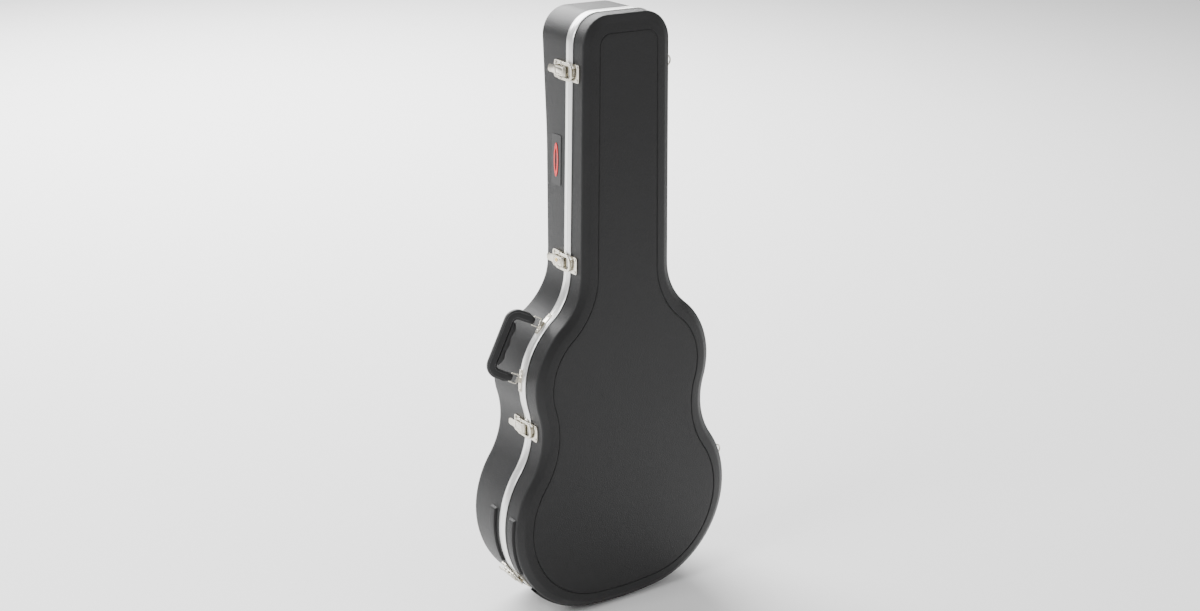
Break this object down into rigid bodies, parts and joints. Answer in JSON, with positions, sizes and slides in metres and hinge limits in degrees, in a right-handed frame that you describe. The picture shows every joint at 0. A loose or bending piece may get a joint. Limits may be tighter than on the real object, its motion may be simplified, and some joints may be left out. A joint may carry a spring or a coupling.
{
  "type": "guitar case",
  "caption": "Moulded hard case for a dreadnought guitar: hinged lid, metal valance, draw latches, carrying handle, strap rings and a padded well.",
  "frame": {"origin": "on the floor under the tail end, on the plane between the two shells and midway across the case", "axes": "+Z along the case from tail to head, +X towards the hinges (the handle and latches are on -X), +Y from the parting plane to the back; the lid is on the -Y side"},
  "size_m": [0.5158, 0.1671, 1.105],
  "materials": {
    "shell": "matte, fine pebbled",
    "valance": "brushed",
    "foam": "matte",
    "lining": "plush",
    "pull": "satin",
    "badge": "satin",
    "emblem": "gloss",
    "lock": "polished",
    "handle": "satin",
    "nickel": "polished nickel"
  },
  "bodies": {
    "base": {"badge_emblem": "emblem", "badge_plate": "badge", "base_foam": "foam", "base_lining": "lining", "base_rivets": "nickel", "base_shell": "shell", "base_valance": "valance", "handle_bracket_lower": "nickel", "handle_bracket_upper": "nickel", "hinge_bout_base_leaf": "nickel", "hinge_bout_pin": "nickel", "hinge_head_base_leaf": "nickel", "hinge_head_pin": "nickel", "hinge_tail_base_leaf": "nickel", "hinge_tail_pin": "nickel", "latch_1_plate": "nickel", "latch_2_plate": "nickel", "latch_3_plate": "nickel", "latch_4_plate": "nickel", "lever_pins": "nickel", "neck_cradle": "lining", "strap_ring_clip_head": "nickel", "strap_ring_clip_tail": "nickel"},
    "latch_1_lever": {"latch_1_lever": "nickel", "latch_1_loop_pin": "nickel"},
    "latch_1_loop": {"latch_1_loop": "nickel"},
    "latch_2_lever": {"latch_2_lever": "nickel", "latch_2_loop_pin": "nickel"},
    "latch_2_loop": {"latch_2_loop": "nickel"},
    "latch_3_lever": {"latch_3_lever": "nickel", "latch_3_loop_pin": "nickel"},
    "latch_3_loop": {"latch_3_loop": "nickel"},
    "latch_4_lever": {"latch_4_lever": "nickel", "latch_4_loop_pin": "nickel"},
    "latch_4_loop": {"latch_4_loop": "nickel"},
    "lock_cylinder": {"lock_cylinder": "lock"},
    "lid": {"lid_shell": "shell", "lid_valance": "valance", "lid_foam": "foam", "lid_lining": "lining", "lid_rivets": "nickel", "hinge_bout_lid_leaf": "nickel", "hinge_head_lid_leaf": "nickel", "hinge_tail_lid_leaf": "nickel", "latch_1_catch": "nickel", "latch_2_catch": "nickel", "latch_3_catch": "nickel", "latch_4_catch": "nickel"},
    "box_flap": {"accessory_box_flap": "lining", "accessory_box_pull": "pull"},
    "handle": {"handle_grip": "handle", "handle_link_lower": "nickel", "handle_link_upper": "nickel", "handle_strap": "handle"},
    "strap_ring_head": {"strap_ring_head": "nickel"},
    "strap_ring_tail": {"strap_ring_tail": "nickel"}
  },
  "joints": [
    {"name": "lid_hinge", "type": "hinge", "parent": "base", "child": "lid", "pos_m": [0.19279, 0, 0.47943], "axis": [-0.1689, 0, 0.9856], "range_deg": [0, 95]},
    {"name": "latch_1_lever_hinge", "type": "hinge", "parent": "base", "child": "latch_1_lever", "pos_m": [-0.09548, 0.006, 1.00657], "axis": [0.0111, 0, 0.9999], "range_deg": [0, 150]},
    {"name": "latch_1_loop_hinge", "type": "hinge", "parent": "latch_1_lever", "child": "latch_1_loop", "pos_m": [-0.09548, 0.016, 1.00657], "axis": [0.0111, 0, 0.9999], "range_deg": [-150, 0]},
    {"name": "latch_2_lever_hinge", "type": "hinge", "parent": "base", "child": "latch_2_lever", "pos_m": [-0.09922, 0.006, 0.66957], "axis": [0.0111, 0, 0.9999], "range_deg": [0, 150]},
    {"name": "latch_2_loop_hinge", "type": "hinge", "parent": "latch_2_lever", "child": "latch_2_loop", "pos_m": [-0.09922, 0.016, 0.66957], "axis": [0.0111, 0, 0.9999], "range_deg": [-150, 0]},
    {"name": "latch_3_lever_hinge", "type": "hinge", "parent": "base", "child": "latch_3_lever", "pos_m": [-0.18152, 0.006, 0.37146], "axis": [-0.0068, 0, 1], "range_deg": [0, 150]},
    {"name": "latch_3_loop_hinge", "type": "hinge", "parent": "latch_3_lever", "child": "latch_3_loop", "pos_m": [-0.18152, 0.016, 0.37146], "axis": [-0.0068, 0, 1], "range_deg": [-150, 0]},
    {"name": "latch_4_lever_hinge", "type": "hinge", "parent": "base", "child": "latch_4_lever", "pos_m": [-0.2065, 0.006, 0.08241], "axis": [-0.5613, 0, 0.8276], "range_deg": [0, 150]},
    {"name": "latch_4_loop_hinge", "type": "hinge", "parent": "latch_4_lever", "child": "latch_4_loop", "pos_m": [-0.2065, 0.016, 0.08241], "axis": [-0.5613, 0, 0.8276], "range_deg": [-150, 0]},
    {"name": "lock_turn", "type": "hinge", "parent": "latch_2_lever", "child": "lock_cylinder", "pos_m": [-0.10242, 0.023, 0.66961], "axis": [-0.9999, 0, 0.0111], "range_deg": [0, 90]},
    {"name": "handle_hinge", "type": "hinge", "parent": "base", "child": "handle", "pos_m": [-0.17112, 0.0051, 0.51704], "axis": [-0.4401, 0, -0.8979], "range_deg": [-85, 45]},
    {"name": "strap_ring_head_hinge", "type": "hinge", "parent": "base", "child": "strap_ring_head", "pos_m": [0.09531, 0.0051, 1.00357], "axis": [-0.0111, 0, 0.9999], "range_deg": [0, 80]},
    {"name": "strap_ring_tail_hinge", "type": "hinge", "parent": "base", "child": "strap_ring_tail", "pos_m": [0.23592, 0.0051, 0.22006], "axis": [-0.1714, 0, 0.9852], "range_deg": [0, 80]},
    {"name": "box_flap_hinge", "type": "hinge", "parent": "base", "child": "box_flap", "pos_m": [0, 0.0224, 0.655], "axis": [-1, 0, 0], "range_deg": [0, 90]}
  ],
  "couplings": [
    {"joint": "latch_1_loop_hinge", "follows": "latch_1_lever_hinge", "ratio": -1},
    {"joint": "latch_2_loop_hinge", "follows": "latch_2_lever_hinge", "ratio": -1},
    {"joint": "latch_3_loop_hinge", "follows": "latch_3_lever_hinge", "ratio": -1},
    {"joint": "latch_4_loop_hinge", "follows": "latch_4_lever_hinge", "ratio": -1}
  ]
}
